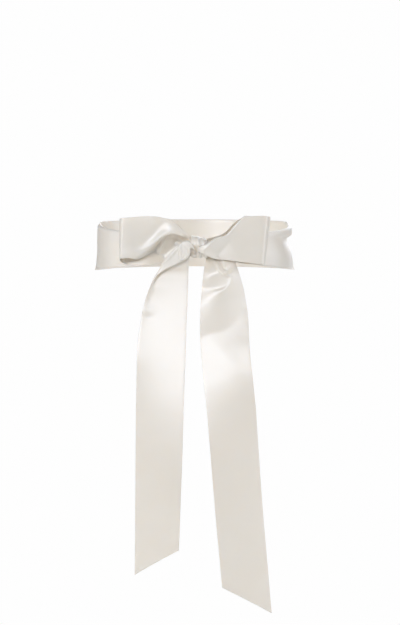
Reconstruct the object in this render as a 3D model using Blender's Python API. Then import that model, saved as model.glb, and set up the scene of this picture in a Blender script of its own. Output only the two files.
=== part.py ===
"""A satin sash, worn round the waist and tied in a bow at the wearer's back.

One ribbon makes all of it: the band round the waist, two loops, a knot and two long tails.
The origin is the middle of the waist, +Z is up, and the bow is on the -Y side.
All sizes are in metres and all angles in degrees.
"""

import math

import bpy
import numpy as np

# The ribbon, and the waist that it was tied round
RIBBON_WIDTH = 0.068
WALL = 0.001
WAIST_BREADTH = 0.2725
WAIST_DEPTH = 0.206
FRONT_RISE = 0.008
HIP_FLARE = 0.0028
TOP_FLARE = -0.0005

# The knot, a little right of the middle of the back, with a small hollow in its front
KNOT_CENTRE = (0.0066, -0.123, -0.0025)
KNOT_RADII = (0.0084, 0.0092, 0.0122)
STRAP_WIDTH = 0.0222
STRAP_CLEARANCE = 0.0024
STRAP_SLOPE = -0.24
STRAP_HALF_TURN = 103
STRAP_PLEAT = 0.0006
STRAP_STATIONS = 23
STRAP_COLUMNS = 21
HOLLOW_CENTRE = (0.0018, -0.0075)
HOLLOW_DEPTH = 0.0060
HOLLOW_SPREAD = 0.0052

# How finely each cut through the cloth is worked out
FINE_STEPS = 340
DENSE_STATIONS = 260
BEND_REACH = 0.85
LEAST_COLUMN = 0.0003

SATIN_COLOUR = (0.80, 0.76, 0.70, 1.0)


def table(names, rows):
    """A table of rows as one array for each named column."""
    values = np.array(rows, float)
    return {name: values[:, k] for k, name in enumerate(names.split())}


def read_smoothly(at, values, wanted):
    """The cubic curve through a column's values, read at the wanted places."""
    slopes = np.gradient(values, at)
    k = np.clip(np.searchsorted(at, wanted, side="right") - 1, 0, len(at) - 2)
    span = at[k + 1] - at[k]
    t = np.clip((wanted - at[k]) / span, 0.0, 1.0)
    start = values[k] * (1 + 2 * t) * (1 - t) ** 2 + slopes[k] * span * t * (1 - t) ** 2
    end = values[k + 1] * t * t * (3 - 2 * t) + slopes[k + 1] * span * t * t * (t - 1)
    return start + end


def smooth_step(x):
    """From 0 at -1 to 1 at +1, with no corner."""
    x = np.clip(x, -1.0, 1.0)
    return 0.5 + 0.75 * x - 0.25 * x**3


def column_places(width, bends, counts):
    """Where the columns of a cut lie: so many up to each bend, through it, and after it."""
    marks = [0.0]
    for place, _, soft in bends:
        marks += [place - BEND_REACH * soft, place + BEND_REACH * soft]
    marks.append(width)
    for k in range(1, len(marks) - 1):
        marks[k] = max(marks[k], marks[k - 1] + LEAST_COLUMN * counts[k - 1])
    for k in range(len(marks) - 2, 0, -1):
        marks[k] = min(marks[k], marks[k + 1] - LEAST_COLUMN * counts[k])
    return np.interp(np.arange(sum(counts) + 1), np.cumsum((0,) + counts), marks)


def cut_through(width, start, ripple, waves, bends, counts):
    """A cut through the cloth from edge to edge, as its places (across, outward).

    The cloth keeps its length: only its heading changes, by each bend (place, turn, softness)
    and by a ripple, which gathers it in even waves.
    """
    along = np.linspace(0.0, width, FINE_STEPS)
    heading = math.radians(start) + math.radians(ripple) * np.sin(2 * math.pi * waves * along / width)
    for place, turn, soft in bends:
        heading = heading + math.radians(turn) * smooth_step((along - place) / soft)
    step = width / (FINE_STEPS - 1)
    middle = (heading[1:] + heading[:-1]) / 2
    across = np.concatenate([[0.0], np.cumsum(np.cos(middle))]) * step
    outward = np.concatenate([[0.0], np.cumsum(np.sin(middle))]) * step
    places = column_places(width, bends, counts)
    return np.interp(places, along, across), np.interp(places, along, outward)


def directions(facing, pitch, lean):
    """The across and outward directions of a cut, whose cloth faces that way in plan.

    Lean turns the across direction from level, to the right, towards straight down.
    """
    f, p, tilt = (math.radians(x) for x in (facing, pitch, lean))
    outward = np.array([math.cos(f) * math.cos(p), math.sin(f) * math.cos(p), math.sin(p)])
    right = np.array([-math.sin(f), math.cos(f), 0.0])
    down = np.array([math.cos(f) * math.sin(p), math.sin(f) * math.sin(p), -math.cos(p)])
    return math.cos(tilt) * right + math.sin(tilt) * down, outward


def stretch_points(rows, count_along, counts, waves=2.5, slant=0.0, crowd=1.0, both_ends=False):
    """Points of a stretch of ribbon on a grid, along by across, from its table of cuts.

    Counts are of columns: up to a bend, through it, and so on. Slant is how much longer the
    far edge is than the first one. The rings crowd towards the knot, at one end or at both.
    """
    at = rows["along"]
    dense = np.linspace(at[0], at[-1], DENSE_STATIONS)
    values = {name: read_smoothly(at, rows[name], dense) for name in rows}
    bend_names = [name[:-3] for name in rows if name.endswith("_at")]
    count_across = sum(counts) + 1
    sheet = np.empty((DENSE_STATIONS, count_across, 3))
    for i in range(DENSE_STATIONS):
        row = {name: float(values[name][i]) for name in values}
        bends = [(row[name + "_at"], row[name + "_turn"], row[name + "_soft"]) for name in bend_names]
        across, outward = cut_through(
            row["width"], row.get("start", 0.0), row.get("ripple", 0.0), waves, bends, counts
        )
        along_cloth, away = directions(row["facing"], row.get("pitch", 0.0), row["lean"])
        origin = np.array([row["x"], row["y"], row["z"]])
        sheet[i] = origin + np.outer(across, along_cloth) + np.outer(outward, away)
    u = np.linspace(0.0, 1.0, count_along)
    u = (1 - np.cos(math.pi * u)) / 2 * (crowd - 1) + u * (2 - crowd) if both_ends else u**crowd
    end_places = np.linalg.norm(sheet[-1] - sheet[-1, 0], axis=1)
    grid = np.empty((count_along, count_across, 3))
    for j in range(count_across):
        length = at[-1] - slant * (1 - end_places[j] / end_places[-1])
        wanted = at[0] + u * (length - at[0])
        for axis in range(3):
            grid[:, j, axis] = np.interp(wanted, dense, sheet[:, j, axis])
    return grid


def raise_ridges(grid, ridges):
    """Moves the points of a hanging stretch outward along soft ridges drawn on it.

    Each ridge is a table of its points in x and z, with its half width and height there.
    """
    grid = grid.copy()
    place = grid[:, :, [0, 2]]
    for ridge in ridges:
        nearest = np.full(place.shape[:2], np.inf)
        height = np.zeros(place.shape[:2])
        for k in range(len(ridge["x"]) - 1):
            start = np.array([ridge["x"][k], ridge["z"][k]])
            run = np.array([ridge["x"][k + 1], ridge["z"][k + 1]]) - start
            t = np.clip((place - start) @ run / (run @ run), 0.0, 1.0)
            half_width = ridge["half_width"][k] * (1 - t) + ridge["half_width"][k + 1] * t
            away = np.linalg.norm(place - start - t[..., None] * run, axis=2) / half_width
            here = ridge["height"][k] * (1 - t) + ridge["height"][k + 1] * t
            closer = away < nearest
            nearest = np.where(closer, away, nearest)
            height = np.where(closer, here, height)
        grid[:, :, 1] -= height * np.exp(-(nearest**2))
    return grid


def normals_of(grid):
    """The unit normal at each point of a grid, along crossed with across."""
    along = np.gradient(grid, axis=0)
    across = np.gradient(grid, axis=1)
    normals = np.cross(along, across)
    return normals / np.linalg.norm(normals, axis=2, keepdims=True)


def cloth(name, grid):
    """A wall of cloth, half its thickness each side of the grid, as one closed object."""
    rows, columns = grid.shape[:2]
    offset = normals_of(grid) * WALL / 2
    points = np.concatenate([(grid + offset).reshape(-1, 3), (grid - offset).reshape(-1, 3)])
    back = rows * columns

    def index(i, j):
        return i * columns + j

    faces = []
    for i in range(rows - 1):
        for j in range(columns - 1):
            corners = (index(i, j), index(i + 1, j), index(i + 1, j + 1), index(i, j + 1))
            faces.append(corners)
            faces.append(tuple(back + k for k in reversed(corners)))
    rim = [index(i, 0) for i in range(rows)]
    rim += [index(rows - 1, j) for j in range(1, columns)]
    rim += [index(i, columns - 1) for i in range(rows - 2, -1, -1)]
    rim += [index(0, j) for j in range(columns - 2, 0, -1)]
    for a, b in zip(rim, rim[1:] + rim[:1]):
        faces.append((b, a, back + a, back + b))
    mesh = bpy.data.meshes.new(name)
    mesh.from_pydata(points.tolist(), [], faces)
    mesh.validate()
    mesh.shade_smooth()
    return add_object(name, mesh)


def satin():
    """Ivory satin: pale, with a soft sheen."""
    material = bpy.data.materials.get("ivory_satin") or bpy.data.materials.new("ivory_satin")
    material.use_nodes = True
    shader = material.node_tree.nodes["Principled BSDF"]
    shader.inputs["Base Color"].default_value = SATIN_COLOUR
    shader.inputs["Roughness"].default_value = 0.38
    shader.inputs["Metallic"].default_value = 0.0
    return material


def add_object(name, mesh):
    """Puts a mesh in the scene as one object in satin."""
    mesh.materials.append(satin())
    made = bpy.data.objects.new(name, mesh)
    bpy.context.scene.collection.objects.link(made)
    return made


# The band, by the distance from the knot round either side. Its lower edge is at z, and
# its upper edge is folded in against the body as it nears the knot.
BAND = table(
    "distance z stand_off width ripple fold_at fold_turn fold_soft",
    (
        (0.000, -0.0140, 0.0072, 0.034, 50, 0.030, 110, 0.005),
        (0.014, -0.0145, 0.0072, 0.035, 49, 0.031, 115, 0.005),
        (0.040, -0.0190, 0.0066, 0.046, 36, 0.040, 145, 0.005),
        (0.075, -0.0255, 0.0056, 0.060, 18, 0.047, 160, 0.005),
        (0.115, -0.0300, 0.0045, 0.067, 6, 0.0525, 160, 0.005),
        (0.145, -0.0325, 0.0036, 0.068, 0, 0.0580, 155, 0.005),
        (0.170, -0.0337, 0.0028, 0.068, 0, 0.0625, 140, 0.005),
        (0.190, -0.0340, 0.0020, 0.068, 0, 0.0640, 110, 0.005),
        (0.210, -0.0340, 0.0012, 0.068, 0, 0.0655, 50, 0.005),
        (0.235, -0.0340, 0.0010, 0.068, 0, 0.0660, 0, 0.005),
        (0.420, -0.0340, 0.0010, 0.068, 0, 0.0660, 0, 0.005),
    ),
)
BAND_WAVES = 1.5
BAND_STATIONS = 58
BAND_COLUMNS = (10, 4, 3)
BAND_END_GAP = 0.0004

# A crease across the band at the wearer's side, on the right: sharp above, and soft below
PINCH_TURN = math.radians(-86)
PINCH_REACH = math.radians(22)
PINCH_HEIGHT = 0.0100
PINCH_REACH_UP = 0.0040
PINCH_REACH_DOWN = 0.0150
PINCH_DEPTH = 0.0080


def waist_point(turn, height):
    """A point on the waist: turn is 0 at the back and grows towards the left of the bow."""
    share = height / (RIBBON_WIDTH / 2)
    flare = HIP_FLARE * share**2 if share < 0 else TOP_FLARE * share**2
    half_breadth = WAIST_BREADTH / 2 + flare
    half_depth = WAIST_DEPTH / 2 + flare
    return np.array([-half_breadth * math.sin(turn), -half_depth * math.cos(turn), height])


def pinch(turn, height):
    """How far the crease at the side takes the band inward."""
    away = math.remainder(turn - PINCH_TURN, 2 * math.pi) / PINCH_REACH
    rise = height - PINCH_HEIGHT
    across = rise / (PINCH_REACH_UP if rise > 0 else PINCH_REACH_DOWN)
    return PINCH_DEPTH * math.exp(-(across**2) - away**2)


def waistband():
    """The stretch round the waist, from the knot's left side round the front to its right."""
    half_breadth, half_depth = WAIST_BREADTH / 2, WAIST_DEPTH / 2
    knot_turn = -math.asin(KNOT_CENTRE[0] / half_breadth)
    slit = BAND_END_GAP / half_breadth
    fine = np.linspace(knot_turn + slit / 2, knot_turn + 2 * math.pi - slit / 2, 1500)
    steps = np.hypot(half_breadth * np.cos(fine), half_depth * np.sin(fine)) * (fine[1] - fine[0])
    travelled = np.concatenate([[0.0], np.cumsum((steps[1:] + steps[:-1]) / 2)])
    u = np.linspace(0.0, 1.0, BAND_STATIONS)
    u = u - 0.35 * np.sin(4 * math.pi * u) / (4 * math.pi) - 0.45 * np.sin(2 * math.pi * u) / (2 * math.pi)
    turns = np.interp(u * travelled[-1], travelled, fine)
    grid = np.empty((BAND_STATIONS, sum(BAND_COLUMNS) + 1, 3))
    for i, (turn, way) in enumerate(zip(turns, u * travelled[-1])):
        distance = min(way, travelled[-1] - way)
        row = {name: float(read_smoothly(BAND["distance"], BAND[name], distance)) for name in BAND}
        bends = [(row["fold_at"], row["fold_turn"], row["fold_soft"])]
        across, inward = cut_through(row["width"], 0.0, row["ripple"], BAND_WAVES, bends, BAND_COLUMNS)
        outward = np.array([-math.sin(turn) / half_breadth, -math.cos(turn) / half_depth, 0.0])
        outward /= np.linalg.norm(outward)
        rise = FRONT_RISE * ((1 - math.cos(turn)) / 2) ** 2
        for j, height in enumerate(row["z"] + across):
            away = row["stand_off"] - inward[j] - pinch(turn, height)
            grid[i, j] = waist_point(turn, height) + outward * away
            grid[i, j, 2] += rise
    return cloth("waistband", grid)


# The left loop, read from its upper edge downwards. It leaves the knot, turns back on
# itself at its outer end, and returns behind. A crest runs down it, above a hollow.
LEFT_LOOP = table(
    "along x y z facing pitch lean width start ripple swell_at swell_turn swell_soft"
    " crest_at crest_turn crest_soft hollow_at hollow_turn hollow_soft",
    (
        (0.000, -0.0039, -0.1256, 0.0084, -90, 0, 90, 0.017, 0, 0)
        + (0.001, 0, 0.003, 0.0042, -40, 0.004, 0.0105, 40, 0.004),
        (0.004, -0.0072, -0.1262, 0.0136, -90, 0, 90, 0.025, 0, 0)
        + (0.001, 0, 0.003, 0.0048, -56, 0.004, 0.0130, 56, 0.005),
        (0.008, -0.0110, -0.1272, 0.0178, -90, 0, 90, 0.033, 8, 0)
        + (0.001, 0, 0.003, 0.0055, -76, 0.005, 0.0155, 70, 0.006),
        (0.017, -0.0200, -0.1284, 0.0246, -90, 0, 90, 0.044, 18, 0)
        + (0.002, 0, 0.004, 0.0090, -106, 0.006, 0.0215, 92, 0.007),
        (0.031, -0.0330, -0.1292, 0.0350, -90, 0, 90, 0.061, 14, 0)
        + (0.006, 8, 0.005, 0.0160, -116, 0.007, 0.0295, 98, 0.008),
        (0.045, -0.0465, -0.1298, 0.0395, -90, 0, 90, 0.067, 4, 0)
        + (0.013, 18, 0.006, 0.0250, -108, 0.008, 0.0400, 92, 0.009),
        (0.061, -0.0620, -0.1302, 0.0412, -90, 0, 90, 0.068, 1, 0)
        + (0.025, 24, 0.007, 0.0380, -98, 0.008, 0.0540, 56, 0.009),
        (0.078, -0.0790, -0.1306, 0.0405, -90, 0, 91, 0.067, 0, 0)
        + (0.037, 22, 0.008, 0.0495, -92, 0.008, 0.0630, 10, 0.008),
        (0.085, -0.0860, -0.1303, 0.0398, -96, 0, 92, 0.0582, 0, 0)
        + (0.041, 14, 0.008, 0.0525, -62, 0.008, 0.0570, 4, 0.008),
        (0.092, -0.0925, -0.1296, 0.0390, -104, 0, 93, 0.0568, 0, 0)
        + (0.045, 8, 0.008, 0.0540, -30, 0.008, 0.0560, 0, 0.008),
        (0.103, -0.1010, -0.1243, 0.0378, -138, 3, 92, 0.0558, 0, 0)
        + (0.045, 0, 0.008, 0.0530, 0, 0.008, 0.0550, 0, 0.008),
        (0.113, -0.1045, -0.1163, 0.0372, -180, 3.5, 90, 0.060, 0, 0)
        + (0.045, 0, 0.008, 0.0540, 0, 0.008, 0.0590, 0, 0.008),
        (0.124, -0.1015, -0.1080, 0.0372, -228, 3, 88, 0.064, 0, 0)
        + (0.045, 0, 0.008, 0.0570, 0, 0.008, 0.0620, 0, 0.008),
        (0.138, -0.0895, -0.1035, 0.0375, -262, 0, 87, 0.067, 0, -4)
        + (0.045, 0, 0.008, 0.0600, 0, 0.008, 0.0650, 0, 0.008),
        (0.168, -0.0600, -0.1040, 0.0385, -272, 0, 90, 0.067, 0, -8)
        + (0.042, 0, 0.008, 0.0560, 0, 0.008, 0.0640, 0, 0.008),
        (0.183, -0.0450, -0.1056, 0.0388, -273, 0, 90, 0.063, 0, -20)
        + (0.036, 0, 0.008, 0.0500, 0, 0.008, 0.0600, 0, 0.008),
        (0.198, -0.0310, -0.1078, 0.0362, -274, 0, 90, 0.055, 0, -30)
        + (0.028, 0, 0.008, 0.0420, 0, 0.008, 0.0520, 0, 0.008),
        (0.210, -0.0200, -0.1100, 0.0275, -274, 0, 90, 0.044, 0, -34)
        + (0.021, 0, 0.008, 0.0320, 0, 0.008, 0.0410, 0, 0.008),
        (0.221, -0.0100, -0.1120, 0.0170, -271, 0, 90, 0.033, 0, -36)
        + (0.015, 0, 0.008, 0.0230, 0, 0.008, 0.0300, 0, 0.008),
        (0.227, -0.0039, -0.1126, 0.0120, -270, 0, 90, 0.027, 0, -36)
        + (0.012, 0, 0.008, 0.0180, 0, 0.008, 0.0240, 0, 0.008),
    ),
)

# The right loop, read from its lower edge upwards. Its upper corner folds over behind,
# along a ridge that runs down to the knot.
RIGHT_LOOP = table(
    "along x y z facing pitch lean width start ripple fold_at fold_turn fold_soft",
    (
        (0.000, 0.0038, -0.1334, -0.0088, -150, 0, -90, 0.004, 0, 0, 0.003, -20, 0.0025),
        (0.005, 0.0064, -0.1380, -0.0088, -112, 0, -90, 0.007, 0, 0, 0.0058, -50, 0.003),
        (0.012, 0.0125, -0.1396, -0.0117, -92, 0, -90, 0.0142, 4, 0, 0.0117, -100, 0.0035),
        (0.021, 0.0200, -0.1378, -0.0156, -88, 0, -90, 0.030, 6, 0, 0.0208, -172, 0.0042),
        (0.031, 0.0300, -0.1340, -0.0186, -88, 0, -90, 0.048, 5, 0, 0.0312, -182, 0.0045),
        (0.043, 0.0430, -0.1315, -0.0200, -89, 0, -90, 0.063, 5, 0, 0.0358, -183, 0.0048),
        (0.0555, 0.0550, -0.1305, -0.0214, -89, 0, -90, 0.067, 4, 0, 0.0495, -178, 0.0048),
        (0.0665, 0.0655, -0.1298, -0.0228, -89, 0, -90, 0.0670, 3, 0, 0.0616, -150, 0.0046),
        (0.0740, 0.0725, -0.1292, -0.0237, -88, 0, -90, 0.0656, 2, 0, 0.0640, -50, 0.0046),
        (0.088, 0.0860, -0.1275, -0.0255, -82, 0, -87, 0.067, 1, 0, 0.066, 0, 0.0048),
        (0.098, 0.0945, -0.1230, -0.0266, -50, -4, -85, 0.068, 0, 0, 0.067, 0, 0.0048),
        (0.107, 0.0980, -0.1155, -0.0273, -4, -7, -90, 0.068, 0, 0, 0.067, 0, 0.0048),
        (0.116, 0.0960, -0.1080, -0.0272, 42, -4, -94, 0.068, 0, 0, 0.067, 0, 0.0048),
        (0.128, 0.0860, -0.1030, -0.0262, 78, 0, -94, 0.068, 0, -4, 0.067, 0, 0.0048),
        (0.150, 0.0640, -0.1026, -0.0240, 92, 0, -90, 0.063, 0, -12, 0.062, 0, 0.0048),
        (0.162, 0.0525, -0.1052, -0.0215, 94, 0, -90, 0.053, 0, -22, 0.052, 0, 0.0048),
        (0.172, 0.0430, -0.1078, -0.0190, 95, 0, -90, 0.041, 0, -30, 0.040, 0, 0.0048),
        (0.182, 0.0340, -0.1103, -0.0165, 94, 0, -90, 0.034, 0, -34, 0.033, 0, 0.0048),
        (0.192, 0.0240, -0.1122, -0.0145, 92, 0, -90, 0.029, 0, -36, 0.028, 0, 0.0048),
        (0.201, 0.0164, -0.1130, -0.0125, 90, 0, -90, 0.025, 0, -36, 0.024, 0, 0.0048),
    ),
)
LOOP_STATIONS = 36
LEFT_LOOP_COLUMNS = (2, 3, 2, 5, 2, 4, 3)
RIGHT_LOOP_COLUMNS = (9, 5, 5)

# The left tail, read from its right edge to the left. At the knot it is folded over
# towards the viewer, and the fold opens as it falls.
LEFT_TAIL = table(
    "along x y z facing lean width start fold_at fold_turn fold_soft",
    (
        (-0.006, 0.0006, -0.1326, -0.0105, -90, 268, 0.0090, 0, 0.0060, 150, 0.0030),
        (0.000, -0.0034, -0.1352, -0.0082, -90, 262, 0.0210, 0, 0.0132, 176, 0.0038),
        (0.010, -0.0052, -0.1354, -0.0115, -90, 240, 0.0400, 0, 0.0208, 180, 0.0042),
        (0.020, -0.0066, -0.1346, -0.0165, -90, 222, 0.0460, 0, 0.0238, 180, 0.0046),
        (0.030, -0.0076, -0.1332, -0.0215, -90, 208, 0.0540, 0, 0.0295, 180, 0.0050),
        (0.040, -0.0080, -0.1318, -0.0260, -90, 196, 0.0565, 0, 0.0342, 180, 0.0050),
        (0.050, -0.0081, -0.1307, -0.0300, -90, 186, 0.0565, 0, 0.0388, 180, 0.0052),
        (0.057, -0.0082, -0.1298, -0.0335, -90, 181, 0.0520, 0, 0.0420, 178, 0.0054),
        (0.063, -0.0083, -0.1300, -0.0380, -90, 180, 0.0505, 0, 0.0452, 170, 0.0056),
        (0.069, -0.0084, -0.1308, -0.0435, -90, 180, 0.0520, 0, 0.0480, 150, 0.0062),
        (0.0755, -0.0084, -0.1322, -0.0495, -90, 180, 0.0555, 0, 0.0505, 122, 0.0075),
        (0.084, -0.0086, -0.1345, -0.0570, -90, 180, 0.0600, 0, 0.0520, 98, 0.0090),
        (0.0955, -0.0090, -0.1385, -0.0680, -90, 180, 0.0650, 0, 0.0520, 78, 0.0115),
        (0.114, -0.0096, -0.1450, -0.0860, -90, 180, 0.0680, 0, 0.0520, 58, 0.0140),
        (0.138, -0.0108, -0.1535, -0.1100, -90, 180, 0.0680, 0, 0.0520, 44, 0.0160),
        (0.158, -0.0113, -0.1600, -0.1300, -90, 180, 0.0680, 0, 0.0520, 30, 0.0180),
        (0.179, -0.0118, -0.1658, -0.1510, -90, 180, 0.0680, 0, 0.0500, 12, 0.0200),
        (0.210, -0.0130, -0.1715, -0.1820, -90, 180, 0.0680, -2, 0.0450, 0, 0.0250),
        (0.247, -0.0144, -0.1745, -0.2180, -90, 180, 0.0680, -6, 0.0400, -4, 0.0300),
        (0.341, -0.0172, -0.1735, -0.3120, -90, 180, 0.0680, -12, 0.0340, -8, 0.0340),
        (0.451, -0.0213, -0.1680, -0.4205, -90, 180, 0.0680, -20, 0.0340, -12, 0.0340),
        (0.488, -0.0228, -0.1660, -0.4575, -90, 180, 0.0680, -22, 0.0340, -12, 0.0340),
    ),
)
LEFT_TAIL_SLANT = 0.0360

# The right tail, read from its left edge to the right
RIGHT_TAIL = table(
    "along x y z facing lean width start crest_at crest_turn crest_soft",
    (
        (0.000, 0.0176, -0.1170, -0.0115, -90, -75, 0.0100, 0, 0.0050, 0, 0.0060),
        (0.009, 0.0168, -0.1174, -0.0165, -90, -35, 0.0250, 2, 0.0130, -4, 0.0100),
        (0.018, 0.0158, -0.1202, -0.0210, -90, -14, 0.0370, 9, 0.0230, -22, 0.0120),
        (0.026, 0.0148, -0.1234, -0.0258, -90, -4, 0.0440, 14, 0.0300, -40, 0.0130),
        (0.034, 0.0134, -0.1256, -0.0330, -90, -2, 0.0490, 18, 0.0350, -52, 0.0140),
        (0.042, 0.0125, -0.1266, -0.0410, -90, -2, 0.0540, 20, 0.0390, -60, 0.0140),
        (0.052, 0.0114, -0.1280, -0.0510, -90, -2, 0.0590, 20, 0.0400, -60, 0.0150),
        (0.062, 0.0105, -0.1296, -0.0610, -90, -2, 0.0620, 18, 0.0380, -52, 0.0170),
        (0.077, 0.0091, -0.1328, -0.0760, -90, -1, 0.0650, 15, 0.0320, -40, 0.0200),
        (0.093, 0.0082, -0.1372, -0.0920, -90, 0, 0.0670, 12, 0.0280, -28, 0.0220),
        (0.107, 0.0078, -0.1420, -0.1060, -90, 0, 0.0680, 9, 0.0260, -20, 0.0240),
        (0.126, 0.0080, -0.1500, -0.1245, -90, -1, 0.0680, 5, 0.0260, -12, 0.0260),
        (0.150, 0.0092, -0.1595, -0.1475, -90, -3, 0.0680, 2, 0.0300, -6, 0.0300),
        (0.180, 0.0118, -0.1680, -0.1765, -90, -5, 0.0680, 0, 0.0340, -4, 0.0340),
        (0.245, 0.0180, -0.1765, -0.2370, -90, -5, 0.0680, -2, 0.0340, -8, 0.0340),
        (0.360, 0.0272, -0.1750, -0.3500, -90, -5.5, 0.0680, -6, 0.0340, -12, 0.0340),
        (0.487, 0.0384, -0.1690, -0.4735, -90, -5.5, 0.0680, -8, 0.0340, -14, 0.0340),
        (0.531, 0.0424, -0.1665, -0.5168, -90, -5.5, 0.0680, -9, 0.0340, -14, 0.0340),
    ),
)
RIGHT_TAIL_SLANT = 0.0440
RIGHT_TAIL_RIDGES = (
    table(
        "x z half_width height",
        (
            (0.052, -0.024, 0.006, 0.0010),
            (0.053, -0.038, 0.007, 0.0025),
            (0.050, -0.050, 0.008, 0.0040),
            (0.041, -0.060, 0.009, 0.0050),
            (0.030, -0.068, 0.009, 0.0050),
            (0.019, -0.082, 0.009, 0.0035),
            (0.011, -0.096, 0.009, 0.0010),
        ),
    ),
    table(
        "x z half_width height",
        (
            (0.018, -0.046, 0.010, -0.0010),
            (0.034, -0.044, 0.011, -0.0025),
        ),
    ),
    table(
        "x z half_width height",
        (
            (0.060, -0.078, 0.014, -0.0030),
            (0.040, -0.098, 0.016, -0.0035),
            (0.022, -0.108, 0.012, -0.0020),
        ),
    ),
)
TAIL_STATIONS = 40
LEFT_TAIL_COLUMNS = (8, 5, 3)
RIGHT_TAIL_COLUMNS = (5, 6, 4)
TAIL_CROWD = 1.75


def hollowed(x, y, z):
    """The point moved into the knot where its front is hollow."""
    away = ((x - HOLLOW_CENTRE[0]) ** 2 + (z - HOLLOW_CENTRE[1]) ** 2) / HOLLOW_SPREAD**2
    depth = HOLLOW_DEPTH * math.exp(-away) if y < KNOT_CENTRE[1] else 0.0
    return np.array([x, y + depth, z])


def knot_wrap():
    """The strap across the front of the knot, softly pleated, open at the back."""
    half_turn = math.radians(STRAP_HALF_TURN)
    grid = np.empty((STRAP_STATIONS, STRAP_COLUMNS, 3))
    for i, angle in enumerate(np.linspace(half_turn, -half_turn, STRAP_STATIONS)):
        for j, share in enumerate(np.linspace(-1.0, 1.0, STRAP_COLUMNS)):
            pleat = STRAP_PLEAT * math.cos(2.6 * math.pi * share + 0.4 + 1.3 * math.sin(angle))
            crown = math.sqrt(1 - 0.52 * share * share)
            swell = STRAP_CLEARANCE + pleat
            grid[i, j] = hollowed(
                KNOT_CENTRE[0] + share * STRAP_WIDTH / 2,
                KNOT_CENTRE[1] - (KNOT_RADII[1] + swell) * crown * math.cos(angle),
                KNOT_CENTRE[2]
                + (KNOT_RADII[2] + swell) * (0.7 + 0.3 * crown) * math.sin(angle)
                + STRAP_SLOPE * share * STRAP_WIDTH / 2 * max(0.0, math.sin(angle)),
            )
    return cloth("knot_wrap", grid)


def knot_core():
    """The tight crossing inside the knot, one rounded solid."""
    rings, spokes = 11, 18
    cx, cy, cz = KNOT_CENTRE
    points = [np.array([cx - KNOT_RADII[0], cy, cz])]
    for i in range(1, rings):
        share = -math.cos(math.pi * i / rings)
        radius = math.sin(math.pi * i / rings) ** 0.8
        for k in range(spokes):
            angle = 2 * math.pi * k / spokes
            out_y = KNOT_RADII[1] * radius * math.cos(angle)
            out_z = KNOT_RADII[2] * radius * math.sin(angle)
            points.append(hollowed(cx + share * KNOT_RADII[0], cy - out_y, cz + out_z))
    points.append(np.array([cx + KNOT_RADII[0], cy, cz]))
    last = len(points) - 1
    faces = []
    for k in range(spokes):
        following = (k + 1) % spokes
        faces.append((0, 1 + k, 1 + following))
        faces.append((last, last - spokes + following, last - spokes + k))
        for i in range(rings - 2):
            a, b = 1 + i * spokes + k, 1 + i * spokes + following
            faces.append((a, a + spokes, b + spokes, b))
    mesh = bpy.data.meshes.new("knot_core")
    mesh.from_pydata([p.tolist() for p in points], [], faces)
    mesh.validate()
    mesh.shade_smooth()
    return add_object("knot_core", mesh)


def build():
    for old in list(bpy.data.objects):
        bpy.data.objects.remove(old)
    waistband()
    grid = stretch_points(LEFT_LOOP, LOOP_STATIONS, LEFT_LOOP_COLUMNS, crowd=1.6, both_ends=True)
    cloth("left_loop", grid)
    grid = stretch_points(RIGHT_LOOP, LOOP_STATIONS, RIGHT_LOOP_COLUMNS, crowd=1.6, both_ends=True)
    cloth("right_loop", grid)
    grid = stretch_points(
        LEFT_TAIL, TAIL_STATIONS, LEFT_TAIL_COLUMNS, slant=LEFT_TAIL_SLANT, crowd=TAIL_CROWD
    )
    cloth("left_tail", grid)
    grid = stretch_points(
        RIGHT_TAIL, TAIL_STATIONS, RIGHT_TAIL_COLUMNS, slant=RIGHT_TAIL_SLANT, crowd=TAIL_CROWD
    )
    cloth("right_tail", raise_ridges(grid, RIGHT_TAIL_RIDGES))
    knot_wrap()
    knot_core()


build()
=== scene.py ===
# %% [markdown]
# # A satin sash, tied at the back
#
# This script dresses a satin sash: one length of ivory ribbon, worn round a waist and tied behind
# in a bow with two loops and two long tails. The plain CAD solids of the sash come from model.glb.
# Here each of them gets a thin, smooth sheet of cloth in its place, with the small creases that the
# solids leave out, and a satin that shines as woven satin does.
#
# The script is read from top to bottom. Each step says what the piece is on the real sash, how it
# could be made, and why this way was chosen.

import math

import bpy
import numpy as np
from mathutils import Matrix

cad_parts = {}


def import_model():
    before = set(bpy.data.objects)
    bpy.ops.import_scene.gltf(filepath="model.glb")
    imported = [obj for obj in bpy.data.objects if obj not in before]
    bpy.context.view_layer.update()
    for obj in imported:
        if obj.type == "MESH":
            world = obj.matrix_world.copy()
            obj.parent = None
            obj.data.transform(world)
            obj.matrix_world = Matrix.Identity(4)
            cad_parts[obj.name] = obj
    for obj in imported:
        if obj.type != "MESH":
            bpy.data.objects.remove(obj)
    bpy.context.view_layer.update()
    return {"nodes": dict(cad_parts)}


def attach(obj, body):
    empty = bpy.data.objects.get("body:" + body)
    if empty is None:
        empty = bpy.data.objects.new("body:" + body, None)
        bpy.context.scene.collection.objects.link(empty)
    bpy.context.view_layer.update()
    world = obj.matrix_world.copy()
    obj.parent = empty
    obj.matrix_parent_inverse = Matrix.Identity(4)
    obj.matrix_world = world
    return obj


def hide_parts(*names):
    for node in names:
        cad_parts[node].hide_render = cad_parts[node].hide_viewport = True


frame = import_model()
print("nodes:", ", ".join(sorted(frame["nodes"])))

# %% [markdown]
# ## The camera
#
# A camera could be aimed by eye, but a picture of a flat-hanging thing gives itself away by its
# edges: here they say that the camera stood level, far off, a little below the waist. So the lens
# is long and the camera looks straight along +Y, at the side of the bow.

# %% The camera, level and far away
CAMERA_PLACE = (0.0078, -6.0, -0.093)
FIELD_HEIGHT = 0.8892  # what the picture's height takes in at the waist, in metres
SENSOR = 36.0

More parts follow.
